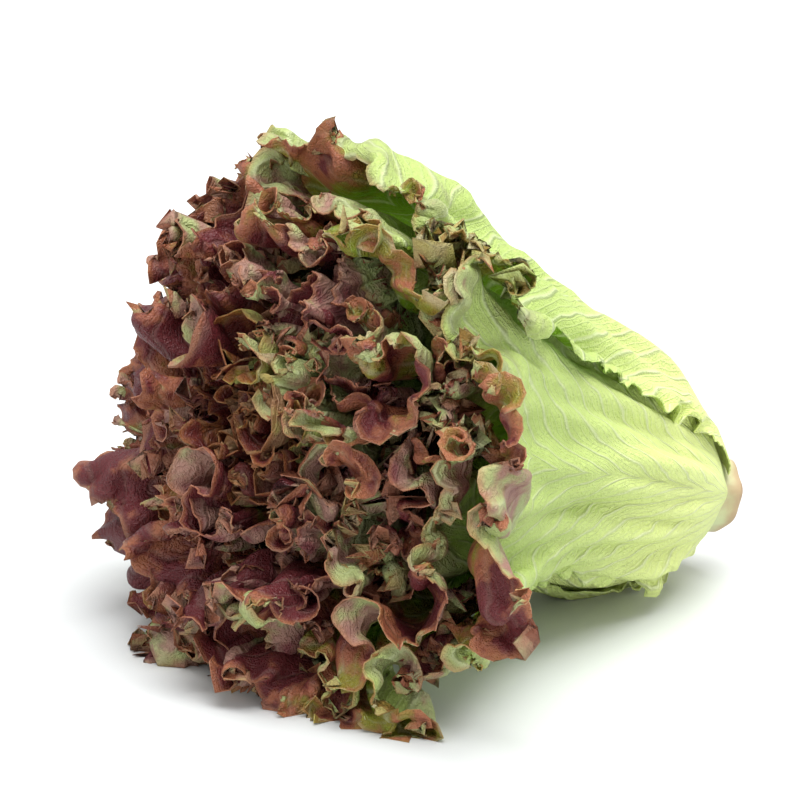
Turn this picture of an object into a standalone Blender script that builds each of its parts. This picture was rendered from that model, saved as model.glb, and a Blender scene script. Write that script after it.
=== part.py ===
"""A head of red leaf lettuce, cut from its root and laid on its side.

Metres, +Z up. The head's axis rises from the cut stem at +X to the frilled face at -X, and the
origin is on the surface it lies on, under the middle of the head.

A leaf is a sheet on one layer of a field shaped like a fountain. The layers leave the stem one
inside the next, rise along the axis and turn outward at the face. All bends, folds and frills are
moves of the whole field that keep its layers in order, so no leaf cuts through its neighbours.
"""

import math

import bmesh
import bpy
import numpy as np
from mathutils import Matrix, Vector

# The stem, and the axis that it gives the head.
STEM_RADIUS = 0.0168
STEM_LENGTH = 0.058
STEM_HEIGHT = 0.0306  # of the cut face's centre
STEM_SEGMENTS = 24
STEM_DISH = 0.0015  # how far the cut face's middle is sunk
AXIS_RISE = math.radians(17.5)
BEND_START = 0.072  # how far in front of the cut face the head starts to bend up
BEND_UP = 0.44
BEND_NEAR = 0.50
BEND_FULL = 0.100  # the height over which the bend takes hold, so that the lowest leaves lie flat

# Where the leaves grow from the stem.
LEAF_FOOT = 0.007  # of the outermost layer, above the cut face
LEAF_SPAN = 0.88  # the share of the stem that carries leaves
STEM_GAP = 0.0006

# The leaves, from the innermost to the outermost.
LEAF_COUNT = 24
GOLDEN_ANGLE = math.radians(137.508)
FIRST_LEAF_ANGLE = math.radians(162.0)
INNERMOST = 0.6  # the innermost leaf's place, in leaves from the axis
CROWDING = 0.9  # below 1, the outer leaves lie closer together
HALF_ANGLE_OUTER = math.radians(57.0)
HALF_ANGLE_INNER = math.radians(100.0)
SHOULDER_CUT = 0.15  # how much shorter a leaf is at its sides than in its middle
SHOULDER_POWER = 2.6
BLADE_THICKNESS = 0.0008
RIB_THICKNESS = 0.0025
RIB_WIDTH = 0.22  # as a share of half the leaf
RIB_TAPER = 1.6
GREEN_LEAVES = 5

# The layers of the fountain. The layer number runs from 0 on the axis to 1 outside.
BELLY_ANGLE = math.radians(42.0)
BELLY_LENGTH = 0.027
BELLY_POWER = 0.7
SPREAD_ANGLE = math.radians(20.5)
SPREAD_POWER = 1.2
FLARE_START_INNER = 0.191
FLARE_START_OUTER = 0.184
FLARE_ANGLE_INNER = math.radians(26.0)
FLARE_ANGLE_OUTER = math.radians(72.0)
FLARE_LENGTH = 0.072
# The flare's share round the axis: a mean, then waves as (depth, waves a turn, phase).
FLARE_MEAN = 0.74
FLARE_SHAPE = ((0.16, 1.0, 0.36), (0.35, 2.0, 0.57))
LOBE_ANGLE = math.radians(236.0)  # where the low leaves hang out in a lobe
LOBE_WIDTH = math.radians(24.0)
LOBE_FLARE = 0.55
CALM_ANGLE = math.radians(150.0)  # where the near leaves stand up and show their backs
CALM_WIDTH = math.radians(38.0)
CALM_SHARE = 0.70
MARGIN_INNER = 0.009
MARGIN_OUTER = 0.085

# The frills. They grow from FRILL_START to full depth over FRILL_GROWTH, as shares of a leaf's length.
FRILL_START = 0.42
FRILL_GROWTH = 0.50
RUFFLE_DEPTH = 0.112  # in layers
RUFFLE_EASE = 0.25  # the innermost layers, where the ruffles are shallower
# Each wave as (share of the depth, waves a turn, phase a layer, phase a metre, phase).
RUFFLE_WAVES = (
    (0.48, 10.0, 5.2, 22.0, 0.0),
    (0.46, 17.0, -4.1, 37.0, 1.7),
    (0.32, 6.0, 3.0, -45.0, 4.1),
)
RUFFLE_LEAN = 0.10  # in radians round the axis
LEAN_WAVES = ((1.0, 4.0, 21.0, 0.0, 0.6), (0.6, -3.0, 37.0, 60.0, 0.0))
LEAN_EASE = 0.4  # how much less the outermost layers lean
RUFFLE_STAGGER = 0.0055
STAGGER_WAVES = ((1.0, 11.0, 9.0, 0.0, 0.0), (1.0, 6.0, -15.0, 0.0, 2.0))
TOOTH_DEPTH = 0.005

# The table pushes the lower leaves up and together.
SQUASH_TOP = 0.090
SQUASH_REACH = 0.230
SQUASH_START = 0.056  # how far in front of the cut face it begins
SQUASH_FULL = 0.135

# The highest frills sink under their own weight.
DROOP_FROM = 0.157
DROOP_REACH = 0.180

# The near lobe sinks to the table, so that the head rests on it as well.
SAG_PLACE = (-0.245, -0.095)
SAG_RADIUS = 0.065
SAG_DEPTH = 0.020

# The far shoulder of the frilled face sinks, and its near side hangs back.
FAR_FROM = 0.03
FAR_WIDTH = 0.11
FAR_FORWARD = 0.12
FAR_ABOVE = 0.05
FAR_SINK = 0.34
NEAR_FROM = -0.02
NEAR_WIDTH = 0.09
NEAR_FORWARD = 0.15
NEAR_PULL = 0.26

# How the settled head lies, and the spot on the lowest leaf's belly that is pressed flat.
REST_PITCH = math.radians(-1.4)
REST_ROLL = math.radians(-1.2)
REST_LEAF = 22
REST_ROW = 0.182
REST_DEPTH = 0.0022


def smooth_step(value):
    t = np.clip(value, 0.0, 1.0)
    return t * t * (3.0 - 2.0 * t)


def stem_radius(along):
    """The stem's radius, from its cut face at 0 to its growing tip."""
    t = np.clip(along / STEM_LENGTH, 0.0, 1.0)
    return STEM_RADIUS * (1.0 - t**1.5) ** 0.6


def layer_start(layer):
    """Where on the stem a layer begins, as (distance along the axis, radius)."""
    along = STEM_LENGTH * LEAF_SPAN * (1.0 - layer) + LEAF_FOOT
    return along, stem_radius(along) + STEM_GAP


def flare_start(layer):
    return FLARE_START_INNER + (FLARE_START_OUTER - FLARE_START_INNER) * layer


def layer_length(layer):
    """The length of a leaf on this layer, from the stem to its furthest margin."""
    return flare_start(layer) + MARGIN_INNER + (MARGIN_OUTER - MARGIN_INNER) * layer


def layer_angle(run, angle, layer):
    """The angle between a layer and the axis, at this run from the stem."""
    belly = BELLY_ANGLE * layer**BELLY_POWER * np.exp(-run / BELLY_LENGTH)
    flare = FLARE_ANGLE_INNER + (FLARE_ANGLE_OUTER - FLARE_ANGLE_INNER) * layer
    flare = flare * (FLARE_MEAN + sum(d * np.cos(n * angle + p) for d, n, p in FLARE_SHAPE))
    flare = flare * (1.0 + LOBE_FLARE * np.exp((np.cos(angle - LOBE_ANGLE) - 1.0) / LOBE_WIDTH**2))
    flare = flare * (1.0 - CALM_SHARE * np.exp((np.cos(angle - CALM_ANGLE) - 1.0) / CALM_WIDTH**2))
    spread = SPREAD_ANGLE * layer**SPREAD_POWER
    return belly + spread + flare * smooth_step((run - flare_start(layer)) / FLARE_LENGTH)


def waves(table, run, angle, layer):
    return sum(
        share * np.sin(turns * angle + by_layer * layer + by_run * run + phase)
        for share, turns, by_layer, by_run, phase in table
    )


def crumple(run, angle, layer):
    """Moves (run, angle, layer) as the frills do, with the layers kept in order."""
    frill = smooth_step((run / layer_length(layer) - FRILL_START) / FRILL_GROWTH)
    depth = RUFFLE_DEPTH * frill * layer / (layer + RUFFLE_EASE)
    layer = layer + depth * waves(RUFFLE_WAVES, run, angle, layer)
    lean = RUFFLE_LEAN * (1.0 - LEAN_EASE * layer) * frill
    angle = angle + lean * waves(LEAN_WAVES, run, angle, layer)
    run = run + RUFFLE_STAGGER * frill * waves(STAGGER_WAVES, run, angle, layer)
    return run, angle, layer


def on_axis_frame(along, radius, angle):
    """A point given by its place along the axis, its radius and its angle from +Y over the top."""
    across = radius * np.sin(angle)
    x = -along * math.cos(AXIS_RISE) + across * math.sin(AXIS_RISE)
    y = radius * np.cos(angle)
    z = STEM_HEIGHT + along * math.sin(AXIS_RISE) + across * math.cos(AXIS_RISE)
    bend = np.maximum(-x - BEND_START, 0.0) ** 2
    above = smooth_step(z / BEND_FULL)
    return np.stack([x, y - BEND_NEAR * bend, z + BEND_UP * bend * above], axis=-1)


def settle(points):
    """Presses the lower leaves together over the table, and lets the highest frills sink."""
    sunk = np.maximum(SQUASH_TOP - points[..., 2], 0.0)
    lift = sunk - sunk / (1.0 + sunk / SQUASH_REACH)
    share = smooth_step((-points[..., 0] - SQUASH_START) / (SQUASH_FULL - SQUASH_START))
    risen = np.maximum(points[..., 2] - DROOP_FROM, 0.0)
    droop = risen - risen / (1.0 + risen / DROOP_REACH)
    away = (points[..., 0] - SAG_PLACE[0]) ** 2 + (points[..., 1] - SAG_PLACE[1]) ** 2
    sag = SAG_DEPTH * np.exp(-away / SAG_RADIUS**2)
    far = smooth_step((points[..., 1] - FAR_FROM) / FAR_WIDTH)
    far = far * smooth_step((-points[..., 0] - FAR_FORWARD) / FAR_WIDTH)
    sink = FAR_SINK * far * np.maximum(points[..., 2] - FAR_ABOVE, 0.0)
    near = smooth_step((NEAR_FROM - points[..., 1]) / NEAR_WIDTH)
    settled = points.copy()
    settled[..., 2] += share * lift - droop - sag - sink
    settled[..., 0] += NEAR_PULL * near * np.maximum(-points[..., 0] - NEAR_FORWARD, 0.0)
    return settled


def lay_down(points):
    """Turns the settled head a little, so that it lies on its belly and two lobes."""
    turn = Matrix.Rotation(REST_ROLL, 3, "X") @ Matrix.Rotation(REST_PITCH, 3, "Y")
    return points @ np.array(turn).T


def head_point(run, angle, layer):
    """The point in space of a place on a layer: its run from the stem and its angle."""
    run, angle, layer = crumple(run, angle, layer)
    along, radius = layer_start(layer)
    steps = 40
    for k in range(steps):
        tilt = layer_angle(run * (k + 0.5) / steps, angle, layer)
        along = along + np.cos(tilt) * run / steps
        radius = radius + np.sin(tilt) * run / steps
    return lay_down(settle(on_axis_frame(along, radius, angle)))


def new_object(name, bm, material):
    mesh = bpy.data.meshes.new(name)
    bm.to_mesh(mesh)
    bm.free()
    mesh.materials.append(material)
    mesh.shade_smooth()
    obj = bpy.data.objects.new(name, mesh)
    bpy.context.scene.collection.objects.link(obj)
    return obj


def new_material(name, colour, roughness):
    material = bpy.data.materials.new(name)
    material.use_nodes = True
    shader = material.node_tree.nodes["Principled BSDF"]
    shader.inputs["Base Color"].default_value = (*colour, 1.0)
    shader.inputs["Roughness"].default_value = roughness
    shader.inputs["Metallic"].default_value = 0.0
    return material


def leaf_sheet(columns, rows, finer_from, added_row):
    """A flat sheet, -1 to 1 across and 0 to 1 along, with its columns doubled past each height."""
    bm = bmesh.new()
    bmesh.ops.create_grid(bm, x_segments=columns, y_segments=rows, size=1.0)
    for vert in bm.verts:
        along = (vert.co.y + 1.0) / 2.0
        vert.co.y = 1.0 - (1.0 - along) ** 1.25
    for height in finer_from:
        across = [
            e
            for e in bm.edges
            if abs(e.verts[0].co.y - e.verts[1].co.y) < 1e-5 and e.verts[0].co.y > height
        ]
        bmesh.ops.subdivide_edges(bm, edges=across, cuts=1)
    if added_row is not None:
        every = bm.verts[:] + bm.edges[:] + bm.faces[:]
        bmesh.ops.bisect_plane(bm, geom=every, plane_co=(0.0, added_row, 0.0), plane_no=(0, 1, 0))
    bmesh.ops.triangulate(bm, faces=bm.faces[:], quad_method="FIXED")
    return bm


def leaf(number, material):
    """One leaf, numbered from the innermost, on its own layer of the fountain."""
    layer = ((number + INNERMOST) / LEAF_COUNT) ** CROWDING
    middle = FIRST_LEAF_ANGLE + number * GOLDEN_ANGLE
    half = HALF_ANGLE_OUTER + (HALF_ANGLE_INNER - HALF_ANGLE_OUTER) * (1.0 - layer) ** 2
    rows = 8
    columns = 7 if layer > 0.35 else 6  # the small inner leaves need fewer
    finer = (0.30, 0.62) if layer > 0.12 else (0.45,)
    bm = leaf_sheet(columns, rows, finer, REST_ROW if number == REST_LEAF else None)
    across = np.array([v.co.x for v in bm.verts])
    along = np.array([v.co.y for v in bm.verts])

    length = layer_length(layer) * (1.0 - SHOULDER_CUT * np.abs(across) ** SHOULDER_POWER)
    edge = along > 1.0 - 1e-4
    finest = columns * 2 ** len(finer)
    notch = np.round((across + 1.0) / 2.0 * finest) % 2 == 1  # every second point of the edge
    run = along * length - np.where(edge & notch, TOOTH_DEPTH, 0.0)
    points = head_point(run, middle + across * half, np.full_like(run, layer))
    for vert, point in zip(bm.verts, points):
        vert.co = point

    bmesh.ops.reverse_faces(bm, faces=bm.faces[:])  # so that they face away from the axis

    obj = new_object(f"leaf_{number + 1:02d}", bm, material)
    thick = obj.vertex_groups.new(name="rib")
    for index, (u, v) in enumerate(zip(across, along)):
        rib = math.exp(-((u / RIB_WIDTH) ** 2)) * (1.0 - v) ** RIB_TAPER
        thickness = BLADE_THICKNESS + (RIB_THICKNESS - BLADE_THICKNESS) * rib
        thick.add([index], thickness / RIB_THICKNESS, "REPLACE")
    solid = obj.modifiers.new("thickness", "SOLIDIFY")
    solid.thickness = RIB_THICKNESS
    solid.offset = 1.0
    solid.vertex_group = "rib"
    return obj


def stem(material):
    """The short stem that all leaves grow from, cut off square at its lower end."""
    bm = bmesh.new()
    rim = STEM_RADIUS * 0.95  # the cut edge is worn round a little
    places = [0.0, 0.0012, *(STEM_LENGTH * np.linspace(0.06, 0.985, 9))]
    radii = [rim, *(float(stem_radius(p)) for p in places[1:])]
    profile = [bm.verts.new((0.0, 0.0, STEM_DISH)), bm.verts.new((0.7 * rim, 0.0, 0.7 * STEM_DISH))]
    profile += [bm.verts.new((r, 0.0, p)) for r, p in zip(radii, places)]
    profile.append(bm.verts.new((0.0, 0.0, STEM_LENGTH)))
    edges = [bm.edges.new(pair) for pair in zip(profile, profile[1:])]
    bmesh.ops.spin(
        bm,
        geom=profile + edges,
        cent=(0, 0, 0),
        axis=(0, 0, 1),
        angle=2 * math.pi,
        steps=STEM_SEGMENTS,
        use_merge=True,
    )
    bmesh.ops.remove_doubles(bm, verts=bm.verts[:], dist=1e-5)
    bmesh.ops.recalc_face_normals(bm, faces=bm.faces[:])
    bmesh.ops.triangulate(bm, faces=bm.faces[:])
    obj = new_object("stem", bm, material)
    start = Vector(lay_down(on_axis_frame(0.0, 0.0, 0.0)))
    along = Vector(lay_down(on_axis_frame(STEM_LENGTH, 0.0, 0.0))) - start
    turn = along.to_track_quat("Z", "Y").to_matrix().to_4x4()
    obj.matrix_world = Matrix.Translation(start) @ turn
    return obj


def centre_on_origin(objects):
    """Moves the head so that the origin is under the middle of its box."""
    bpy.context.view_layer.update()
    graph = bpy.context.evaluated_depsgraph_get()
    corners = []
    for obj in objects:
        evaluated = obj.evaluated_get(graph)
        corners += [evaluated.matrix_world @ Vector(c) for c in evaluated.bound_box]
    for axis in range(2):
        values = [c[axis] for c in corners]
        middle = (min(values) + max(values)) / 2.0
        for obj in objects:
            obj.location[axis] -= middle
    lowest = min(c.z for c in corners)
    for obj in objects:
        obj.location.z -= lowest


def press_flat(obj):
    """Gives a leaf its thickness for good, and presses its lowest spot flat on the table."""
    graph = bpy.context.evaluated_depsgraph_get()
    mesh = bpy.data.meshes.new_from_object(obj.evaluated_get(graph))
    obj.modifiers.clear()
    obj.data = mesh
    for vert in mesh.vertices:
        if vert.co.z + obj.location.z < REST_DEPTH and vert.normal.z < 0.0:
            vert.co.z = -obj.location.z


def main():
    for obj in list(bpy.data.objects):
        bpy.data.objects.remove(obj, do_unlink=True)
    stem_flesh = new_material("stem_flesh", (0.62, 0.68, 0.38), 0.5)
    leaf_green = new_material("leaf_green", (0.45, 0.62, 0.16), 0.5)
    leaf_red = new_material("leaf_red", (0.24, 0.06, 0.06), 0.5)
    objects = [stem(stem_flesh)]
    objects += [leaf(number, leaf_green) for number in range(GREEN_LEAVES)]
    objects += [leaf(number, leaf_red) for number in range(GREEN_LEAVES, LEAF_COUNT)]
    centre_on_origin(objects)
    bpy.context.view_layer.update()
    press_flat(objects[1 + REST_LEAF])


main()
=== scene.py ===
"""A loose head of red leaf lettuce, lying on its side with its cut stem to the right.

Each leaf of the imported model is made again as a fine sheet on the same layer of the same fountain
shaped field, and its margin is then folded, curled and toothed as a real leaf's is.
"""

import math

import bmesh
import bpy
import numpy as np
from mathutils import Matrix, Vector


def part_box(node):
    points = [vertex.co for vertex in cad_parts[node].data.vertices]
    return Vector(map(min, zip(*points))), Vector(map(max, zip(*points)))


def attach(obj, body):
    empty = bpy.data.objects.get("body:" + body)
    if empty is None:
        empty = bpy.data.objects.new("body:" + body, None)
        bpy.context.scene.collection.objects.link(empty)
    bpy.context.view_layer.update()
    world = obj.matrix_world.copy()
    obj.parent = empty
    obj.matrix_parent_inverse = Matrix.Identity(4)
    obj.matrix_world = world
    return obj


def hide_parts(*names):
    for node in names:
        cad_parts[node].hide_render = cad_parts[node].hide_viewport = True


bl_info = {
    "name": "Red leaf lettuce",
    "version": (1, 0, 0),
    "blender": (4, 5, 0),
    "location": "View3D > Sidebar > Lettuce",
    "description": "Builds a loose head of red leaf lettuce leaf by leaf, on a pale table",
    "category": "Add Mesh",
}

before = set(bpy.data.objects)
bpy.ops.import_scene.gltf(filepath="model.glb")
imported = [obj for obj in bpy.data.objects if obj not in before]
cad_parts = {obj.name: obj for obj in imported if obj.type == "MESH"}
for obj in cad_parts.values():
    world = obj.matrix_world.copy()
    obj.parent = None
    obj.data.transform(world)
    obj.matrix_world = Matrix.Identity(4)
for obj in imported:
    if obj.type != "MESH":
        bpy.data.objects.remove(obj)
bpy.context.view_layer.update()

# The stem, and the axis that it gives the head.
STEM_RADIUS = 0.0168
STEM_LENGTH = 0.058
STEM_HEIGHT = 0.0306
STEM_DISH = 0.0015
STEM_RIM = 0.95 * STEM_RADIUS
STEM_BEVEL = 0.0012
STEM_TIP = 0.985  # the share of its length that is turned, below its tip
AXIS_RISE = math.radians(17.5)
BEND_START = 0.072
BEND_UP = 0.44
BEND_NEAR = 0.50
BEND_FULL = 0.100

# Where the leaves grow from the stem.
LEAF_FOOT = 0.007
LEAF_SPAN = 0.88
STEM_GAP = 0.0006

# The leaves, from the innermost to the outermost.
LEAF_COUNT = 24
GOLDEN_ANGLE = math.radians(137.508)
FIRST_LEAF_ANGLE = math.radians(162.0)
INNERMOST = 0.6
CROWDING = 0.9
HALF_ANGLE_OUTER = math.radians(57.0)
HALF_ANGLE_INNER = math.radians(100.0)
SHOULDER_CUT = 0.15
SHOULDER_POWER = 2.6
RIB_THICKNESS = 0.0025
RIB_WIDTH = 0.22
RIB_TAPER = 1.6

# The layers of the fountain, from 0 on the axis to 1 outside.
BELLY_ANGLE = math.radians(42.0)
BELLY_LENGTH = 0.027
BELLY_POWER = 0.7
SPREAD_ANGLE = math.radians(20.5)
SPREAD_POWER = 1.2
FLARE_START_INNER = 0.191
FLARE_START_OUTER = 0.184
FLARE_ANGLE_INNER = math.radians(26.0)
FLARE_ANGLE_OUTER = math.radians(72.0)
FLARE_LENGTH = 0.072
FLARE_MEAN = 0.74
FLARE_SHAPE = ((0.16, 1.0, 0.36), (0.35, 2.0, 0.57))
LOBE_ANGLE = math.radians(236.0)
LOBE_WIDTH = math.radians(24.0)
LOBE_FLARE = 0.55
CALM_ANGLE = math.radians(150.0)
CALM_WIDTH = math.radians(38.0)
CALM_SHARE = 0.70
MARGIN_INNER = 0.009
MARGIN_OUTER = 0.085

# The broad ruffles, which all layers share.
FRILL_START = 0.42
FRILL_GROWTH = 0.50
RUFFLE_DEPTH = 0.112
RUFFLE_EASE = 0.25
RUFFLE_WAVES = (
    (0.48, 10.0, 5.2, 22.0, 0.0),
    (0.46, 17.0, -4.1, 37.0, 1.7),
    (0.32, 6.0, 3.0, -45.0, 4.1),
)
RUFFLE_LEAN = 0.10
LEAN_WAVES = ((1.0, 4.0, 21.0, 0.0, 0.6), (0.6, -3.0, 37.0, 60.0, 0.0))
LEAN_EASE = 0.4
RUFFLE_STAGGER = 0.0055
STAGGER_WAVES = ((1.0, 11.0, 9.0, 0.0, 0.0), (1.0, 6.0, -15.0, 0.0, 2.0))

# How the head settles on the table.
SQUASH_TOP = 0.090
SQUASH_REACH = 0.230
SQUASH_START = 0.056
SQUASH_FULL = 0.135
DROOP_FROM = 0.157
DROOP_REACH = 0.180
SAG_PLACE = (-0.245, -0.095)
SAG_RADIUS = 0.065
SAG_DEPTH = 0.020
FAR_FROM = 0.03
FAR_WIDTH = 0.11
FAR_FORWARD = 0.12
FAR_ABOVE = 0.05
FAR_SINK = 0.34
NEAR_FROM = -0.02
NEAR_WIDTH = 0.09
NEAR_FORWARD = 0.15
NEAR_PULL = 0.26
REST_PITCH = math.radians(-1.4)
REST_ROLL = math.radians(-1.2)

# Soft ridges that all leaves share, as waves round the axis like those of the ruffles.
BODY_WAVES = (
    (0.55, 7.0, 2.0, 16.0, 0.3),
    (0.50, 13.0, -1.5, -24.0, 2.0),
    (0.40, 21.0, 2.5, 31.0, 4.0),
    (0.30, 34.0, -2.0, -38.0, 1.0),
)

# The fine sheets: columns at the leaf's foot and the heights where they are doubled, then the rows.
HEART_SHEET = (32, (0.35, 0.62, 0.80))
INNER_SHEET = (48, (0.35, 0.62, 0.80))
OUTER_SHEET = (96, (0.35, 0.80))
HEART_LEAVES = 5
OUTER_FROM = 18
RUN_STEPS = 40  # the straight steps that a leaf's curve is summed from
ROWS = 46
ROW_PARTS = 4  # the finest rows in a row, used along the lower sides
ROW_POWER = 1.5  # above 1, the rows crowd towards the margin
SIDE_SHARE = 0.84
SIDE_HEIGHT = 0.62
LONGEST_FOLD = 0.036

# The outline of a fine leaf, as rates of waves over its half width or along its sides.
LOBE_RATE = 9.0
TOOTH_RATE = 112.0
TEAR_RATE = 70.0

# Where things set in on a leaf, as a start and a width in shares of its length.
TEARS_FROM = (0.03, 0.08)
RIDGES_FROM = (0.06, 0.20)
SIDE_CURLS_FROM = (0.04, 0.08)
QUILT_FROM = (0.25, 0.35)
FOLDS_FROM = (0.30, 0.35)
CURLS_FROM = (0.40, 0.30)
LOW_SIDE_UNTIL = (0.66, 0.30)
TEETH_FROM = (0.90, 0.10)
CURLED_ROW = 0.97

# A leaf's sides count as its margin by a share of the distance and what is added to it. More is added
# for the folds and the red along the lower sides.
SIDE_WEIGHT = 0.8
SIDE_OFFSET = 0.004
LOW_SIDE_FOLDS = 0.060
LOW_SIDE_RED = 0.15

# The layers where a leaf is shaded, or free of the crowd of the heart.
SHADED_FROM = (0.55, 0.35)
CROWDED_FROM = (0.35, 0.55)
CROWDED_CURL = 0.55

# How softly the leaves meet the table, and how much light their thin parts let through.
SOFT_FLOOR = 0.0008
HEART_GLOW = 0.42
LEAF_GLOW = 0.32

# The folds near the margins, which nest best at the anchor: their drift and depth, as waves.
FOLD_ANCHOR = math.radians(200.0)
FOLD_DRIFT = ((1.3, 3.0, 5.0, 22.0, 0.0), (0.9, 7.0, -6.0, -30.0, 2.0), (0.5, 13.0, 9.0, 45.0, 4.0))
FOLD_AMOUNT = ((0.25, 4.0, 9.0, 12.0, 1.0), (0.20, 9.0, -14.0, 0.0, 0.5))

# Where the head grew in its own shade and stayed greener and smoother: angle, width and share.
SHADED = (
    (math.radians(112.0), math.radians(32.0), 0.60),
    (math.radians(236.0), math.radians(20.0), 0.42),
)

# The stage.
LIGHT_AIM = Vector((-0.05, 0.15, -1.0))
CAMERA_HEIGHT = 0.098
CAMERA_LEFT = 0.026


def linear(code):
    """An sRGB hex colour as linear red, green, blue and a full alpha."""
    values = [int(code[k : k + 2], 16) / 255.0 for k in (0, 2, 4)]
    return (*(v / 12.92 if v <= 0.04045 else ((v + 0.055) / 1.055) ** 2.4 for v in values), 1.0)


# The field that carries every leaf.


def smooth_step(value):
    t = np.clip(value, 0.0, 1.0)
    return t * t * (3.0 - 2.0 * t)


def rise(value, start_and_width):
    """Rises smoothly from 0 to 1 past a start, over a width."""
    start, width = start_and_width
    return smooth_step((value - start) / width)


def stem_radius(along):
    t = np.clip(along / STEM_LENGTH, 0.0, 1.0)
    return STEM_RADIUS * (1.0 - t**1.5) ** 0.6


def layer_start(layer):
    along = STEM_LENGTH * LEAF_SPAN * (1.0 - layer) + LEAF_FOOT
    return along, stem_radius(along) + STEM_GAP


def flare_start(layer):
    return FLARE_START_INNER + (FLARE_START_OUTER - FLARE_START_INNER) * layer


def layer_length(layer):
    return flare_start(layer) + MARGIN_INNER + (MARGIN_OUTER - MARGIN_INNER) * layer


def layer_angle(run, angle, layer):
    """The angle between a layer and the axis, at this run from the stem."""
    belly = BELLY_ANGLE * layer**BELLY_POWER * np.exp(-run / BELLY_LENGTH)
    flare = FLARE_ANGLE_INNER + (FLARE_ANGLE_OUTER - FLARE_ANGLE_INNER) * layer
    flare = flare * (FLARE_MEAN + sum(d * np.cos(n * angle + p) for d, n, p in FLARE_SHAPE))
    flare = flare * (1.0 + LOBE_FLARE * np.exp((np.cos(angle - LOBE_ANGLE) - 1.0) / LOBE_WIDTH**2))
    flare = flare * (1.0 - CALM_SHARE * np.exp((np.cos(angle - CALM_ANGLE) - 1.0) / CALM_WIDTH**2))
    spread = SPREAD_ANGLE * layer**SPREAD_POWER
    return belly + spread + flare * smooth_step((run - flare_start(layer)) / FLARE_LENGTH)


def waves(table, run, angle, layer):
    return sum(
        share * np.sin(turns * angle + by_layer * layer + by_run * run + phase)
        for share, turns, by_layer, by_run, phase in table
    )


def crumple(run, angle, layer):
    """Moves a place as the broad ruffles do, with the layers kept in order."""
    frill = smooth_step((run / layer_length(layer) - FRILL_START) / FRILL_GROWTH)
    depth = RUFFLE_DEPTH * frill * layer / (layer + RUFFLE_EASE)
    layer = layer + depth * waves(RUFFLE_WAVES, run, angle, layer)
    lean = RUFFLE_LEAN * (1.0 - LEAN_EASE * layer) * frill
    angle = angle + lean * waves(LEAN_WAVES, run, angle, layer)
    run = run + RUFFLE_STAGGER * frill * waves(STAGGER_WAVES, run, angle, layer)
    return run, angle, layer


def on_axis_frame(along, radius, angle):
    """A point given by its place along the axis, its radius and its angle from +Y over the top."""
    across = radius * np.sin(angle)
    x = -along * math.cos(AXIS_RISE) + across * math.sin(AXIS_RISE)
    y = radius * np.cos(angle)
    z = STEM_HEIGHT + along * math.sin(AXIS_RISE) + across * math.cos(AXIS_RISE)
    bend = np.maximum(-x - BEND_START, 0.0) ** 2
    above = smooth_step(z / BEND_FULL)
    return np.stack([x, y - BEND_NEAR * bend, z + BEND_UP * bend * above], axis=-1)


def settle(points):
    """Presses the lower leaves together over the table, and lets the highest frills sink."""
    sunk = np.maximum(SQUASH_TOP - points[..., 2], 0.0)
    lift = sunk - sunk / (1.0 + sunk / SQUASH_REACH)
    share = smooth_step((-points[..., 0] - SQUASH_START) / (SQUASH_FULL - SQUASH_START))
    risen = np.maximum(points[..., 2] - DROOP_FROM, 0.0)
    droop = risen - risen / (1.0 + risen / DROOP_REACH)
    away = (points[..., 0] - SAG_PLACE[0]) ** 2 + (points[..., 1] - SAG_PLACE[1]) ** 2
    sag = SAG_DEPTH * np.exp(-away / SAG_RADIUS**2)
    far = smooth_step((points[..., 1] - FAR_FROM) / FAR_WIDTH)
    far = far * smooth_step((-points[..., 0] - FAR_FORWARD) / FAR_WIDTH)
    sink = FAR_SINK * far * np.maximum(points[..., 2] - FAR_ABOVE, 0.0)
    near = smooth_step((NEAR_FROM - points[..., 1]) / NEAR_WIDTH)
    settled = points.copy()
    settled[..., 2] += share * lift - droop - sag - sink
    settled[..., 0] += NEAR_PULL * near * np.maximum(-points[..., 0] - NEAR_FORWARD, 0.0)
    return settled


def lay_down(points):
    turn = Matrix.Rotation(REST_ROLL, 3, "X") @ Matrix.Rotation(REST_PITCH, 3, "Y")
    return points @ np.array(turn).T


def head_point(run, angle, layer):
    """The point in space of a place on a layer: its run from the stem and its angle."""
    run, angle, layer = crumple(run, angle, layer)
    along, radius = layer_start(layer)
    for k in range(RUN_STEPS):
        tilt = layer_angle(run * (k + 0.5) / RUN_STEPS, angle, layer)
        along = along + np.cos(tilt) * run / RUN_STEPS
        radius = radius + np.sin(tilt) * run / RUN_STEPS
    return lay_down(settle(on_axis_frame(along, radius, angle)))


# Meshes and nodes.


def new_object(name, mesh, material):
    mesh.materials.clear()
    mesh.materials.append(material)
    obj = bpy.data.objects.new(name, mesh)
    bpy.context.scene.collection.objects.link(obj)
    return obj


def vertex_places(mesh):
    places = np.zeros(len(mesh.vertices) * 3, np.float32)
    mesh.vertices.foreach_get("co", places)
    return places.reshape(-1, 3)


def set_values(mesh, name, values):
    """Stores one number for each vertex under this name."""
    attribute = mesh.attributes.new(name, "FLOAT", "POINT")
    attribute.data.foreach_set("value", np.asarray(values, np.float32).ravel())


def add(tree, kind, inputs=None, **settings):
    """Adds a node. Each input is given by its name or number, as a value or another node's socket."""
    node = tree.nodes.new(kind)
    for name, value in settings.items():
        setattr(node, name, value)
    for key, value in (inputs or {}).items():
        if isinstance(value, bpy.types.NodeSocket):
            tree.links.new(value, node.inputs[key])
        else:
            node.inputs[key].default_value = value
    return node


def new_tree(name):
    material = bpy.data.materials.get(name) or bpy.data.materials.new(name)
    material.use_nodes = True
    material.node_tree.nodes.clear()
    return material, material.node_tree


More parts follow.
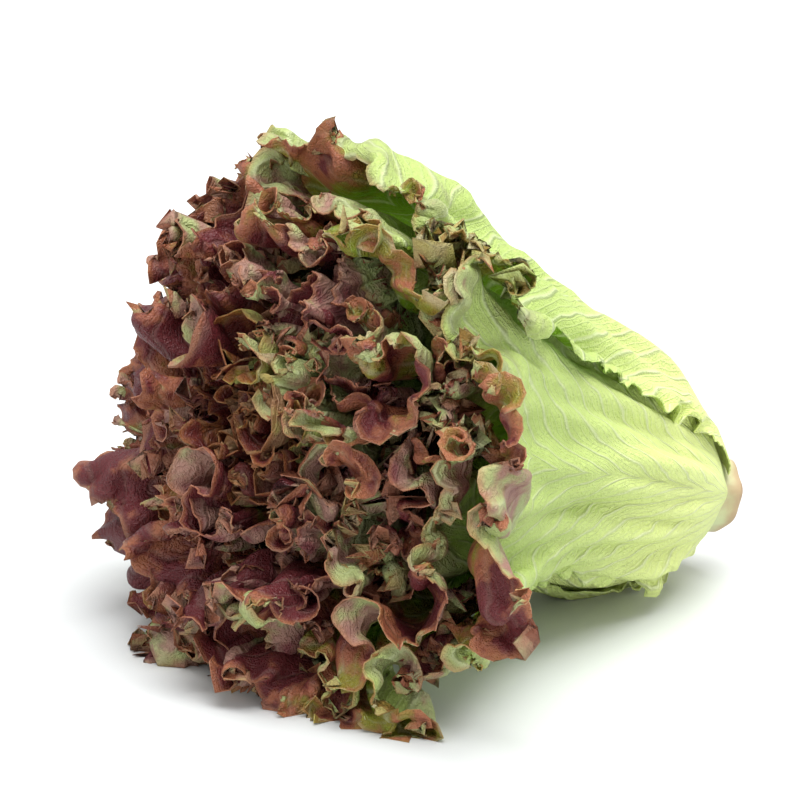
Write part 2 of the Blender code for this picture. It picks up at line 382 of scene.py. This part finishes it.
def colour_steps(tree, factor, steps):
    """A colour ramp with a step for each place and hex colour."""
    node = add(tree, "ShaderNodeValToRGB", {"Fac": factor})
    node.color_ramp.interpolation = "EASE"
    while len(node.color_ramp.elements) < len(steps):
        node.color_ramp.elements.new(0.5)
    for element, (place, code) in zip(node.color_ramp.elements, steps):
        element.position = place
        element.color = linear(code)
    return node.outputs["Color"]


def leaf_tissue(name, colours, glow):
    """Living lettuce leaf, grown and not made. Its upper face is waxy and blistered between sunken
    veins, and its back is duller and paler with raised veins. Its thin parts let light through."""
    material, tree = new_tree(name)
    place = add(tree, "ShaderNodeTexCoord").outputs["Object"]
    patches = add(tree, "ShaderNodeTexNoise", {"Vector": place, "Scale": 42.0, "Detail": 2.0})
    specks = add(tree, "ShaderNodeTexNoise", {"Vector": place, "Scale": 170.0, "Detail": 3.0})
    blush = add(tree, "ShaderNodeAttribute", attribute_name="blush").outputs["Fac"]
    upper = add(tree, "ShaderNodeAttribute", attribute_name="upper").outputs["Fac"]
    foot = add(tree, "ShaderNodeAttribute", attribute_name="foot").outputs["Fac"]
    rim = add(tree, "ShaderNodeAttribute", attribute_name="rim").outputs["Fac"]

    # The red comes and goes in patches of about 25 mm and in specks of about 6 mm.
    uneven = add(
        tree,
        "ShaderNodeMath",
        {0: patches.outputs["Fac"], 1: 1.5, 2: blush},
        operation="MULTIPLY_ADD",
    ).outputs[0]
    uneven = add(
        tree,
        "ShaderNodeMath",
        {0: specks.outputs["Fac"], 1: 0.55, 2: uneven},
        operation="MULTIPLY_ADD",
    ).outputs[0]
    red = add(tree, "ShaderNodeMath", {0: uneven, 1: 1.085}, operation="SUBTRACT", use_clamp=True).outputs[0]

    # Side veins leave the midrib at a sharp angle and run out to the margin.
    leaf_map = add(tree, "ShaderNodeUVMap", uv_map="leaf").outputs["UV"]
    split = add(tree, "ShaderNodeSeparateXYZ", {0: leaf_map})
    side = add(tree, "ShaderNodeMath", {0: split.outputs["X"]}, operation="ABSOLUTE").outputs[0]
    wander = add(tree, "ShaderNodeTexNoise", {"Vector": place, "Scale": 60.0, "Detail": 1.0}).outputs["Fac"]
    steep = add(tree, "ShaderNodeMath", {0: side, 1: 0.77}, operation="POWER").outputs[0]
    slant = add(
        tree,
        "ShaderNodeMath",
        {0: steep, 1: -0.70, 2: split.outputs["Y"]},
        operation="MULTIPLY_ADD",
    ).outputs[0]
    slant = add(tree, "ShaderNodeMath", {0: wander, 1: 0.05, 2: slant}, operation="MULTIPLY_ADD").outputs[0]
    broad = add(tree, "ShaderNodeMath", {0: slant, 1: 0.040}, operation="PINGPONG").outputs[0]
    vein = add(
        tree,
        "ShaderNodeMapRange",
        {0: broad, 1: 0.0, 2: 0.011, 3: 1.0, 4: 0.0},
        interpolation_type="SMOOTHSTEP",
    ).outputs[0]
    fine = add(tree, "ShaderNodeMath", {0: slant, 1: 0.011}, operation="PINGPONG").outputs[0]
    thread = add(
        tree,
        "ShaderNodeMapRange",
        {0: fine, 1: 0.0, 2: 0.004, 3: 0.28, 4: 0.0},
        interpolation_type="SMOOTHSTEP",
    ).outputs[0]
    veins = add(tree, "ShaderNodeMath", {0: vein, 1: thread}, operation="MAXIMUM").outputs[0]

    # Blisters of about 6 mm between the veins.
    warp = add(tree, "ShaderNodeMixRGB", {"Fac": 0.06, "Color1": place, "Color2": specks.outputs["Color"]})
    cells = add(
        tree,
        "ShaderNodeTexVoronoi",
        {"Vector": warp.outputs[0], "Scale": 170.0, "Smoothness": 0.35},
        feature="SMOOTH_F1",
    )

    top = colour_steps(
        tree,
        red,
        [
            (0.0, colours["green"]),
            (0.34, colours["olive"]),
            (0.60, colours["rust"]),
            (0.86, colours["burgundy"]),
        ],
    )
    back = colour_steps(
        tree,
        red,
        [
            (0.0, colours["back"]),
            (0.40, colours["grey_green"]),
            (0.72, colours["mauve"]),
            (1.0, colours["plum"]),
        ],
    )
    calm = add(tree, "ShaderNodeMapRange", {0: red, 1: 0.1, 2: 0.6, 3: 0.42, 4: 0.05}).outputs[0]
    light = add(tree, "ShaderNodeMath", {0: veins, 1: calm}, operation="MULTIPLY").outputs[0]
    veined = add(tree, "ShaderNodeMixRGB", {"Fac": upper, "Color1": back, "Color2": top}).outputs[0]
    for share, name in ((rim, "rim"), (foot, "foot"), (light, "vein")):
        colour = linear(colours[name])
        veined = add(tree, "ShaderNodeMixRGB", {"Fac": share, "Color1": veined, "Color2": colour}).outputs[0]

    # Veins are sunken in the upper face and stand out of the back.
    sign = add(tree, "ShaderNodeMapRange", {0: upper, 1: 0.0, 2: 1.0, 3: 1.3, 4: -0.7}).outputs[0]
    ridges = add(tree, "ShaderNodeMath", {0: veins, 1: sign}, operation="MULTIPLY").outputs[0]
    height = add(
        tree,
        "ShaderNodeMath",
        {0: cells.outputs["Distance"], 1: -0.9, 2: ridges},
        operation="MULTIPLY_ADD",
    ).outputs[0]
    bump = add(tree, "ShaderNodeBump", {"Height": height, "Strength": 0.65, "Distance": 0.0016}).outputs[0]

    rough = add(tree, "ShaderNodeMapRange", {0: upper, 1: 0.0, 2: 1.0, 3: 0.46, 4: 0.34}).outputs[0]
    surface = add(
        tree,
        "ShaderNodeBsdfPrincipled",
        {"Base Color": veined, "Roughness": rough, "Normal": bump, "IOR": 1.42},
    )
    through = add(tree, "ShaderNodeGamma", {"Color": veined, "Gamma": 0.8}).outputs[0]
    lit = add(tree, "ShaderNodeBsdfTranslucent", {"Color": through, "Normal": bump})
    share = add(tree, "ShaderNodeMapRange", {0: foot, 1: 0.0, 2: 1.0, 3: glow, 4: 0.14}).outputs[0]
    mixed = add(tree, "ShaderNodeMixShader", {0: share, 1: surface.outputs[0], 2: lit.outputs[0]})
    add(tree, "ShaderNodeOutputMaterial", {"Surface": mixed.outputs[0]})
    return material


def cut_stem(colours):
    """Fresh lettuce stump, cut with a knife. The flesh is wet and pale, and the cut face and the old
    leaf scars have begun to turn pinkish brown."""
    material, tree = new_tree("cut_lettuce_stem")
    place = add(tree, "ShaderNodeTexCoord").outputs["Object"]
    grain = add(tree, "ShaderNodeTexNoise", {"Vector": place, "Scale": 260.0, "Detail": 4.0})
    stain = add(tree, "ShaderNodeTexNoise", {"Vector": place, "Scale": 90.0, "Detail": 3.0})
    brown = add(tree, "ShaderNodeAttribute", attribute_name="brown").outputs["Fac"]
    uneven = add(
        tree,
        "ShaderNodeMath",
        {0: stain.outputs["Fac"], 1: 0.8, 2: brown},
        operation="MULTIPLY_ADD",
    ).outputs[0]
    amount = add(tree, "ShaderNodeMath", {0: uneven, 1: 0.4}, operation="SUBTRACT", use_clamp=True).outputs[0]
    colour = colour_steps(
        tree,
        amount,
        [(0.0, colours["flesh"]), (0.5, colours["tan"]), (1.0, colours["brown"])],
    )
    bump = add(
        tree, "ShaderNodeBump", {"Height": grain.outputs["Fac"], "Strength": 0.5, "Distance": 0.0006}
    ).outputs[0]
    surface = add(tree, "ShaderNodeBsdfPrincipled", {"Base Color": colour, "Roughness": 0.42, "Normal": bump})
    glow = add(tree, "ShaderNodeBsdfTranslucent", {"Color": colour})
    mixed = add(tree, "ShaderNodeMixShader", {0: 0.15, 1: surface.outputs[0], 2: glow.outputs[0]})
    add(tree, "ShaderNodeOutputMaterial", {"Surface": mixed.outputs[0]})
    return material


OUTER_COLOURS = {
    "green": "8ab432",
    "olive": "948c34",
    "rust": "b06c50",
    "burgundy": "743236",
    "back": "d6ec8c",
    "grey_green": "c0cc8a",
    "mauve": "bc9080",
    "plum": "8e5052",
    "rim": "c8885e",
    "foot": "eefaa0",
    "vein": "fafde0",
}
HEART_COLOURS = {
    "green": "acca3c",
    "olive": "a69c3a",
    "rust": "9a6038",
    "burgundy": "70302c",
    "back": "d0e47c",
    "grey_green": "c0ca74",
    "mauve": "b08a66",
    "plum": "8c5648",
    "rim": "b87c46",
    "foot": "eefaa0",
    "vein": "fafde0",
}
STEM_COLOURS = {"flesh": "d3dba6", "tan": "c4ab86", "brown": "9a6e5c"}


# Leaves.


def row_at(height):
    return int(ROWS * ROW_PARTS * (1.0 - (1.0 - height) ** (1.0 / ROW_POWER)))


def sheet(columns, finer_from):
    """A closed slab of fine squares. Its vertices hold (column, row, face), with 0 for the upper
    face and -1 for the back. Its columns are doubled at each height of finer_from, and its rows are
    cut finer along the lower sides."""
    middle = columns * 2 ** len(finer_from) / 2
    bm = bmesh.new()
    bmesh.ops.create_grid(bm, x_segments=columns, y_segments=ROWS, size=1.0)
    for vert in bm.verts:
        vert.co.x = round((vert.co.x + 1.0) / 2.0 * columns) * 2 * middle / columns
        vert.co.y = round((vert.co.y + 1.0) / 2.0 * ROWS) * ROW_PARTS
    for height in finer_from:
        low = row_at(height)
        level = [e for e in bm.edges if e.verts[0].co.y == e.verts[1].co.y and e.verts[0].co.y > low]
        bmesh.ops.subdivide_edges(bm, edges=level, cuts=1)
    high = row_at(SIDE_HEIGHT)
    upright = [
        e
        for e in bm.edges
        if e.verts[0].co.x == e.verts[1].co.x
        and abs(e.verts[0].co.x - middle) >= SIDE_SHARE * middle
        and max(v.co.y for v in e.verts) < high
    ]
    bmesh.ops.subdivide_edges(bm, edges=upright, cuts=ROW_PARTS - 1)
    bmesh.ops.triangulate(bm, faces=[f for f in bm.faces if len(f.verts) > 4])
    made = bmesh.ops.extrude_face_region(bm, geom=bm.faces[:], use_keep_orig=True)["geom"]
    for vert in made:
        if isinstance(vert, bmesh.types.BMVert):
            vert.co.z = -1.0
    bmesh.ops.recalc_face_normals(bm, faces=bm.faces[:])
    for face in bm.faces:
        face.smooth = True
        if len({v.co.z for v in face.verts}) == 2:
            for edge in face.edges:
                edge.smooth = False  # the rim of the blade stays crisp
    mesh = bpy.data.meshes.new("leaf")
    bm.to_mesh(mesh)
    bm.free()
    return mesh


def drift(rng, u, v, low, high, count=4):
    """A smooth random field over the leaf, about -1 to 1, with low to high waves across it."""
    total = np.zeros_like(u)
    for _ in range(count):
        turn = rng.uniform(0.0, 2.0 * math.pi)
        rate = rng.uniform(low, high) * math.pi
        total += np.sin(rate * (u * math.cos(turn) + 2.0 * v * math.sin(turn)) + rng.uniform(0.0, 6.3))
    return total / math.sqrt(count)


def face_directions(points):
    """The steps to the next column and row, and the unit vector out of the upper face."""
    across = np.gradient(points, axis=1)
    along = np.gradient(points, axis=0)
    out = np.cross(across, along)
    out /= np.linalg.norm(out, axis=-1, keepdims=True) + 1e-12
    return across, along, out


def fold(points, phase, bend, longest):
    """Folds a sheet in waves whose crests follow this phase. At each point the wave is a meander that
    turns by at most bend radians to either side, and is no higher than one of the longest length."""
    across, along, out = face_directions(points)
    by_column = np.gradient(phase, axis=1)[..., None]
    by_row = np.gradient(phase, axis=0)[..., None]
    e = np.sum(across * across, axis=-1, keepdims=True)
    f = np.sum(across * along, axis=-1, keepdims=True)
    g = np.sum(along * along, axis=-1, keepdims=True)
    slope = (g * by_column - f * by_row) * across + (e * by_row - f * by_column) * along
    slope /= np.maximum(e * g - f * f, 1e-26)
    steep = np.maximum(np.linalg.norm(slope, axis=-1, keepdims=True), 2.0 * math.pi / longest)
    b = np.clip(bend, 0.0, 1.9)[..., None]
    # The first terms of the Bessel functions of the bend, which give a meander's length and height.
    j0 = 1.0 - b**2 / 4.0 + b**4 / 64.0 - b**6 / 2304.0
    j1 = b / 2.0 - b**3 / 16.0 + b**5 / 384.0
    j2 = b**2 / 8.0 - b**4 / 96.0 + b**6 / 3072.0
    s = phase[..., None]
    return points + (2.0 * j1 * np.sin(s) * out - j2 * np.sin(2.0 * s) * slope / steep) / (steep * j0)


def leaf_outline(number, layer, frills, rng, u, v):
    """The leaf's length at each column, and the run and angle of each place. The outline has rounded
    shoulders, shallow lobes, sharp teeth of a few millimetres and torn sides."""
    length = layer_length(layer) * (1.0 - SHOULDER_CUT * np.abs(u) ** SHOULDER_POWER)
    lobes = 1.0 - np.abs(np.sin(LOBE_RATE * u + 1.5 * drift(rng, u, 0 * v, 1.0, 3.0) + number))
    teeth = 1.0 - np.abs(np.sin(TOOTH_RATE * u + 4.0 * drift(rng, u, 0 * v, 2.0, 9.0)))
    ragged = frills.lobe_depth * layer * lobes + frills.tooth_depth * teeth
    run = v * length + rise(v, TEETH_FROM) * (ragged - 0.5 * frills.lobe_depth)
    side = 0.7 * np.sign(u)
    torn = np.abs(np.sin(TEAR_RATE * v + 4.0 * drift(rng, side, v, 2.0, 7.0)))
    torn = np.clip(torn + drift(rng, side, v, 3.0, 8.0) + 1.0, 0.0, 3.0)
    inset = frills.torn_share * torn * np.abs(u) ** 4 * rise(v, TEARS_FROM)
    half = HALF_ANGLE_OUTER + (HALF_ANGLE_INNER - HALF_ANGLE_OUTER) * (1.0 - layer) ** 2
    angle = FIRST_LEAF_ANGLE + number * GOLDEN_ANGLE + u * (1.0 - inset) * half
    return length, run, angle


def leaf_mesh(number, frills, shift):
    """The fine mesh of a leaf, numbered from the innermost."""
    rng = np.random.default_rng(1000 + number)
    grade = HEART_SHEET if number < HEART_LEAVES else OUTER_SHEET if number >= OUTER_FROM else INNER_SHEET
    mesh = sheet(*grade)
    column, row, face = vertex_places(mesh).round().astype(int).T
    on_back = face == -1
    rows = 1.0 - (1.0 - np.linspace(0.0, 1.0, ROWS * ROW_PARTS + 1)) ** ROW_POWER
    v, u = np.meshgrid(rows, np.linspace(-1.0, 1.0, column.max() + 1), indexing="ij")
    layer = ((number + INNERMOST) / LEAF_COUNT) ** CROWDING
    length, run, angle = leaf_outline(number, layer, frills, rng, u, v)
    points = head_point(run, angle, np.full_like(run, layer))

    # Soft ridges run up the head. All leaves share them, so that none cuts through its neighbour.
    ridge = waves(BODY_WAVES, run, angle, layer) * rise(v, RIDGES_FROM)
    points = points + frills.ridge_height * ridge[..., None] * face_directions(points)[2]

    # How far each place is from the margin, over the end and over the sides.
    to_end = (1.0 - v) * length
    walked = np.cumsum(np.linalg.norm(np.gradient(points, axis=1), axis=-1), axis=1)
    to_side = np.minimum(walked, walked[:, -1:] - walked)
    low_side = 1.0 - rise(v, LOW_SIDE_UNTIL)
    past_side = SIDE_WEIGHT * to_side + SIDE_OFFSET
    margin = np.minimum(to_end, past_side + LOW_SIDE_FOLDS * low_side)

    # Neighbours push each other into folds that nest. Shorter curls then follow along each margin.
    shade = sum(share * np.exp((np.cos(angle - at) - 1.0) / spread**2) for at, spread, share in SHADED)
    shade = shade * rise(layer, SHADED_FROM)
    free = rise(v, FOLDS_FROM)
    folded = smooth_step(1.0 - margin / frills.fold_reach) * free
    around = round(frills.fold_count * (0.3 + 0.7 * layer))
    phase = around * (angle - FOLD_ANCHOR) + waves(FOLD_DRIFT, run, angle, layer)
    amount = np.clip(0.78 + waves(FOLD_AMOUNT, run, angle, layer), 0.2, 1.15) * (1.0 - shade)
    points = fold(points, phase, frills.fold_bend * folded * amount, LONGEST_FOLD)

    step = np.linalg.norm(np.gradient(points, axis=1), axis=-1)
    edge = np.cumsum(step[row_at(CURLED_ROW)]) / frills.curl_length
    curled = smooth_step(1.0 - margin / frills.curl_reach) * rise(v, CURLS_FROM)
    phase = edge * 2.0 * math.pi + 1.6 * drift(rng, u, v, 1.0, 3.0)
    amount = np.clip(0.72 + 0.45 * drift(rng, u, v, 1.5, 3.5), 0.1, 1.2)
    crowded = CROWDED_CURL + (1.0 - CROWDED_CURL) * rise(layer, CROWDED_FROM)
    points = fold(points, phase, frills.curl_bend * crowded * curled * amount, frills.curl_length)

    beside = smooth_step(1.0 - to_side / frills.side_reach) * rise(v, SIDE_CURLS_FROM) * low_side
    phase = 2.0 * math.pi * run / frills.side_wave + 3.2 * drift(rng, u, v, 1.5, 4.0)
    amount = np.clip(0.45 + 0.55 * drift(rng, u, v, 1.0, 4.0), 0.0, 1.2)
    points = fold(points, phase, frills.curl_bend * beside * amount, 1.5 * frills.side_wave)

    # The blade is quilted between its veins, and its very margin rolls over here and there.
    _, along, out = face_directions(points)
    quilt = drift(rng, u, v, 9.0, 16.0, 6) * rise(v, QUILT_FROM)
    points = points + frills.quilt_height * quilt[..., None] * out
    roll = np.clip(1.5 * drift(rng, u, v, 2.0, 6.0), -1.0, 1.0) * free
    over = np.clip(1.0 - to_end / frills.roll_width, 0.0, 1.0) ** 2
    back = along / (np.linalg.norm(along, axis=-1, keepdims=True) + 1e-9)
    lift = (0.50 * crowded * frills.roll_width * over * roll)[..., None]
    points = points + lift * out - 0.7 * np.abs(lift) * back

    # The blade's thickness, with its thick midrib at the foot. The table is met softly.
    rib = np.exp(-((u / RIB_WIDTH) ** 2)) * (1.0 - v) ** RIB_TAPER
    thick = frills.blade + (RIB_THICKNESS - frills.blade) * rib
    under = points - face_directions(points)[2] * thick[..., None]
    final = np.where(on_back[:, None], under[row, column], points[row, column]) + shift
    final[:, 2] = 0.5 * (final[:, 2] + np.sqrt(final[:, 2] ** 2 + SOFT_FLOOR**2))
    mesh.vertices.foreach_set("co", final.astype(np.float32).ravel())

    # The red fades from the end of the leaf to its foot, where the sides are as pale as the rest. The
    # far side grew in more light than the near side.
    age = smooth_step((number + 2.0) / 9.0)
    reach = frills.blush_reach * (0.45 + 0.55 * age)
    from_red = np.minimum(to_end, past_side + LOW_SIDE_RED * low_side)
    blush = np.clip(1.20 - from_red / reach, -0.4, 0.90) + 0.14 * drift(rng, u, v, 1.0, 3.0)
    blush = blush + 0.08 * np.cos(angle) - 0.9 * shade
    foot = smooth_step((0.66 - v) / 0.50)
    rim = 0.5 * smooth_step(1.0 - margin / 0.003)
    set_values(mesh, "blush", blush[row, column] - 0.16 * on_back)
    set_values(mesh, "upper", 1.0 - on_back)
    set_values(mesh, "foot", foot[row, column])
    set_values(mesh, "rim", rim[row, column])
    corners = np.zeros(len(mesh.loops), np.int32)
    mesh.loops.foreach_get("vertex_index", corners)
    flat = np.stack([u[row, column], v[row, column]], axis=-1)[corners]
    mesh.uv_layers.new(name="leaf").data.foreach_set("uv", flat.astype(np.float32).ravel())
    mesh.update()
    return mesh


def stem_profile(fine):
    """The stem's outline from the middle of its cut face to its tip, as pairs of radius and height."""
    if fine:
        shares = (0.0, 0.15, 0.3, 0.45, 0.6, 0.7, 0.8, 0.9)
        face = [(k * STEM_RIM, (1.0 - k**3) * STEM_DISH) for k in shares]
        face += [(STEM_RIM, 0.0), (STEM_RIM * 1.02, STEM_BEVEL / 3.0)]
        places = STEM_LENGTH * np.linspace(0.04, STEM_TIP, 40)
    else:
        face = [(0.0, STEM_DISH), (0.7 * STEM_RIM, 0.7 * STEM_DISH), (STEM_RIM, 0.0)]
        places = STEM_LENGTH * np.linspace(0.06, STEM_TIP, 9)
    flank = [(float(stem_radius(p)), p) for p in (STEM_BEVEL, *places)]
    return [*face, *flank, (0.0, STEM_LENGTH)]


def stem_mesh(profile, segments, wear):
    """The stem turned from its profile and laid on the head's axis, with as much wear as this."""
    bm = bmesh.new()
    verts = [bm.verts.new((radius, 0.0, height)) for radius, height in profile]
    edges = [bm.edges.new(pair) for pair in zip(verts, verts[1:])]
    bmesh.ops.spin(
        bm,
        geom=verts + edges,
        cent=(0, 0, 0),
        axis=(0, 0, 1),
        angle=2 * math.pi,
        steps=segments,
        use_merge=True,
    )
    bmesh.ops.remove_doubles(bm, verts=bm.verts[:], dist=1e-5)
    bmesh.ops.recalc_face_normals(bm, faces=bm.faces[:])
    for vert in bm.verts:
        angle = math.atan2(vert.co.y, vert.co.x)
        reach = math.hypot(vert.co.x, vert.co.y) / STEM_RADIUS
        knobs = math.sin(3.0 * angle + 260.0 * vert.co.z) * math.sin(5.0 * angle - 190.0 * vert.co.z)
        scale = 1.0 + wear * (0.05 * knobs * min(reach, 1.0) + 0.015 * math.sin(7.0 * angle))
        vert.co.x *= scale
        vert.co.y *= scale
    mesh = bpy.data.meshes.new("stem")
    bm.to_mesh(mesh)
    bm.free()
    x, y, z = vertex_places(mesh).T

    # The cut face and its edge have turned brown.
    outside = np.hypot(x, y) / STEM_RADIUS
    set_values(mesh, "brown", 0.75 * np.exp(-z / 0.0035) * (0.25 + 0.75 * outside**3) + 0.05)
    start = Vector(lay_down(on_axis_frame(0.0, 0.0, 0.0)))
    along = Vector(lay_down(on_axis_frame(STEM_LENGTH, 0.0, 0.0))) - start
    mesh.transform(Matrix.Translation(start) @ along.to_track_quat("Z", "Y").to_matrix().to_4x4())
    mesh.shade_smooth()
    return mesh


def field_shift():
    """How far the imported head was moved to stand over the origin, read from its stem's box."""
    low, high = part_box("stem")
    stem = stem_mesh(stem_profile(False), 24, 0.0)
    places = vertex_places(stem)
    bpy.data.meshes.remove(stem)
    return np.array((low + high) / 2.0) - (places.min(axis=0) + places.max(axis=0)) / 2.0


def add_leaves(context, numbers, material):
    shift = field_shift()
    for number in numbers:
        name = f"leaf_{number + 1:02d}"
        mesh = leaf_mesh(number, context.scene.lettuce_frills, shift)
        leaf = new_object(f"fine_{name}", mesh, material)
        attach(leaf, "root")
        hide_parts(name)


class LettuceFrills(bpy.types.PropertyGroup):
    """How the leaf margins are folded, curled and toothed."""

    fold_count: bpy.props.FloatProperty(
        name="Folds",
        description="Folds in a turn round the outermost layer",
        default=42.0,
        min=4.0,
        max=90.0,
    )
    fold_bend: bpy.props.FloatProperty(
        name="Fold bend",
        description="How far the folds turn to either side",
        default=1.55,
        subtype="ANGLE",
    )
    fold_reach: bpy.props.FloatProperty(
        name="Fold reach",
        description="How far in from the margin the folds begin",
        default=0.070,
        unit="LENGTH",
    )
    curl_length: bpy.props.FloatProperty(
        name="Curl length",
        description="Length of a curl along the folded margin",
        default=0.015,
        unit="LENGTH",
    )
    curl_bend: bpy.props.FloatProperty(
        name="Curl bend",
        description="How far the curls turn to either side",
        default=1.25,
        subtype="ANGLE",
    )
    curl_reach: bpy.props.FloatProperty(
        name="Curl reach",
        description="How far in from the margin the curls begin",
        default=0.036,
        unit="LENGTH",
    )
    side_wave: bpy.props.FloatProperty(
        name="Side curl",
        description="Length of a curl along the lower sides",
        default=0.015,
        unit="LENGTH",
    )
    side_reach: bpy.props.FloatProperty(
        name="Side reach",
        description="How far in from the lower sides the curls begin",
        default=0.014,
        unit="LENGTH",
    )
    torn_share: bpy.props.FloatProperty(
        name="Torn sides",
        description="Depth of the tears along the sides, as a share of a leaf",
        default=0.035,
    )
    ridge_height: bpy.props.FloatProperty(
        name="Ridges",
        description="Height of the soft ridges of the leaf bases",
        default=0.0036,
        unit="LENGTH",
    )
    quilt_height: bpy.props.FloatProperty(
        name="Quilting",
        description="Height of the swellings between the veins",
        default=0.0007,
        unit="LENGTH",
    )
    roll_width: bpy.props.FloatProperty(
        name="Rolled margin",
        description="Width of the margin that rolls over",
        default=0.012,
        unit="LENGTH",
    )
    lobe_depth: bpy.props.FloatProperty(
        name="Lobe depth", description="Depth of the margin's shallow lobes", default=0.008, unit="LENGTH"
    )
    tooth_depth: bpy.props.FloatProperty(
        name="Tooth depth", description="Depth of the margin's teeth", default=0.0028, unit="LENGTH"
    )
    blade: bpy.props.FloatProperty(
        name="Blade", description="Thickness of the blade between its ribs", default=0.0006, unit="LENGTH"
    )
    blush_reach: bpy.props.FloatProperty(
        name="Blush reach",
        description="How far in from the margin the red goes",
        default=0.085,
        unit="LENGTH",
    )


class LettuceStage(bpy.types.PropertyGroup):
    """The table, the light and the camera."""

    floor: bpy.props.FloatVectorProperty(
        name="Table",
        description="Colour of the table",
        default=linear("d8dbdb")[:3],
        subtype="COLOR",
        min=0.0,
        max=1.0,
    )
    sky: bpy.props.FloatProperty(
        name="Surround", description="Strength of the even white light all round", default=0.85, min=0.0
    )
    key: bpy.props.FloatProperty(
        name="Key light",
        description="Strength of the large soft light above the head",
        default=3.8,
        min=0.0,
    )
    key_width: bpy.props.FloatProperty(
        name="Key width",
        description="How wide the key light looks",
        default=math.radians(50.0),
        subtype="ANGLE",
    )
    azimuth: bpy.props.FloatProperty(
        name="Azimuth",
        description="Camera's turn round the head",
        default=math.radians(-34.0),
        subtype="ANGLE",
    )
    elevation: bpy.props.FloatProperty(
        name="Elevation",
        description="Camera's height over the horizon",
        default=math.radians(17.0),
        subtype="ANGLE",
    )
    distance: bpy.props.FloatProperty(
        name="Distance", description="From the camera to the head", default=2.2, unit="LENGTH"
    )
    lens: bpy.props.FloatProperty(
        name="Lens", description="Focal length in millimetres", default=244.0, min=20.0
    )


class LETTUCE_OT_stem(bpy.types.Operator):
    """Makes the cut stem with its stained face and old leaf scars"""

    bl_idname = "lettuce.stem"
    bl_label = "Stem"

    def execute(self, context):
        mesh = stem_mesh(stem_profile(True), 96, 1.0)
        mesh.transform(Matrix.Translation(Vector(field_shift())))
        stem = new_object("fine_stem", mesh, cut_stem(STEM_COLOURS))
        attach(stem, "root")
        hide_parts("stem")
        return {"FINISHED"}


class LETTUCE_OT_heart(bpy.types.Operator):
    """Makes the young yellow-green leaves of the heart"""

    bl_idname = "lettuce.heart"
    bl_label = "Heart leaves"

    def execute(self, context):
        tissue = leaf_tissue("young_leaf_tissue", HEART_COLOURS, HEART_GLOW)
        add_leaves(context, range(HEART_LEAVES), tissue)
        return {"FINISHED"}


class LETTUCE_OT_red_leaves(bpy.types.Operator):
    """Makes the grown leaves with their dark red frills"""

    bl_idname = "lettuce.red_leaves"
    bl_label = "Red leaves"

    def execute(self, context):
        tissue = leaf_tissue("red_leaf_tissue", OUTER_COLOURS, LEAF_GLOW)
        add_leaves(context, range(HEART_LEAVES, LEAF_COUNT), tissue)
        return {"FINISHED"}


class LETTUCE_OT_stage(bpy.types.Operator):
    """Makes the pale table, the soft light and the camera"""

    bl_idname = "lettuce.stage"
    bl_label = "Stage"

    def execute(self, context):
        stage = context.scene.lettuce_stage
        material, tree = new_tree("white_laminate")
        settings = {"Base Color": (*stage.floor, 1.0), "Roughness": 0.6}
        surface = add(tree, "ShaderNodeBsdfPrincipled", settings)
        add(tree, "ShaderNodeOutputMaterial", {"Surface": surface.outputs[0]})
        bm = bmesh.new()
        bmesh.ops.create_grid(bm, x_segments=1, y_segments=1, size=8.0)
        mesh = bpy.data.meshes.new("floor")
        bm.to_mesh(mesh)
        bm.free()
        new_object("floor", mesh, material)

        world = bpy.data.worlds.new("white_surround")
        world.use_nodes = True
        background = world.node_tree.nodes["Background"]
        background.inputs["Color"].default_value = (1.0, 1.0, 1.0, 1.0)
        background.inputs["Strength"].default_value = stage.sky
        context.scene.world = world

        light = bpy.data.lights.new("soft_key", "SUN")
        light.energy = stage.key
        light.angle = stage.key_width
        lamp = bpy.data.objects.new("soft_key", light)
        lamp.rotation_mode = "QUATERNION"
        lamp.rotation_quaternion = LIGHT_AIM.to_track_quat("-Z", "Y")
        context.scene.collection.objects.link(lamp)

        turn, climb = stage.azimuth, stage.elevation
        back = Vector((math.sin(turn) * math.cos(climb), -math.cos(turn) * math.cos(climb), math.sin(climb)))
        right = Vector((math.cos(turn), math.sin(turn), 0.0))
        aim = Vector((0.0, 0.0, CAMERA_HEIGHT)) - CAMERA_LEFT * right
        camera = bpy.data.objects.new("camera", bpy.data.cameras.new("camera"))
        camera.data.lens = stage.lens
        camera.location = aim + back * stage.distance
        camera.rotation_mode = "QUATERNION"
        camera.rotation_quaternion = (-back).to_track_quat("-Z", "Y")
        context.scene.collection.objects.link(camera)
        context.scene.camera = camera
        context.scene.view_settings.view_transform = "Standard"
        return {"FINISHED"}


class LETTUCE_PT_panel(bpy.types.Panel):
    """Lists the pieces of the head and their settings"""

    bl_label = "Red leaf lettuce"
    bl_space_type = "VIEW_3D"
    bl_region_type = "UI"
    bl_category = "Lettuce"

    def draw(self, context):
        column = self.layout.column()
        for name in ("lettuce.stem", "lettuce.heart", "lettuce.red_leaves", "lettuce.stage"):
            column.operator(name)
        for settings in (context.scene.lettuce_frills, context.scene.lettuce_stage):
            for name in settings.__annotations__:
                column.prop(settings, name)


CLASSES = (
    LettuceFrills,
    LettuceStage,
    LETTUCE_OT_stem,
    LETTUCE_OT_heart,
    LETTUCE_OT_red_leaves,
    LETTUCE_OT_stage,
    LETTUCE_PT_panel,
)


def register():
    for cls in CLASSES:
        bpy.utils.register_class(cls)
    bpy.types.Scene.lettuce_frills = bpy.props.PointerProperty(type=LettuceFrills)
    bpy.types.Scene.lettuce_stage = bpy.props.PointerProperty(type=LettuceStage)


def unregister():
    del bpy.types.Scene.lettuce_stage
    del bpy.types.Scene.lettuce_frills
    for cls in reversed(CLASSES):
        bpy.utils.unregister_class(cls)


def main():
    register()
    bpy.ops.lettuce.stem()
    bpy.ops.lettuce.heart()
    bpy.ops.lettuce.red_leaves()
    bpy.ops.lettuce.stage()


if __name__ == "__main__":
    main()
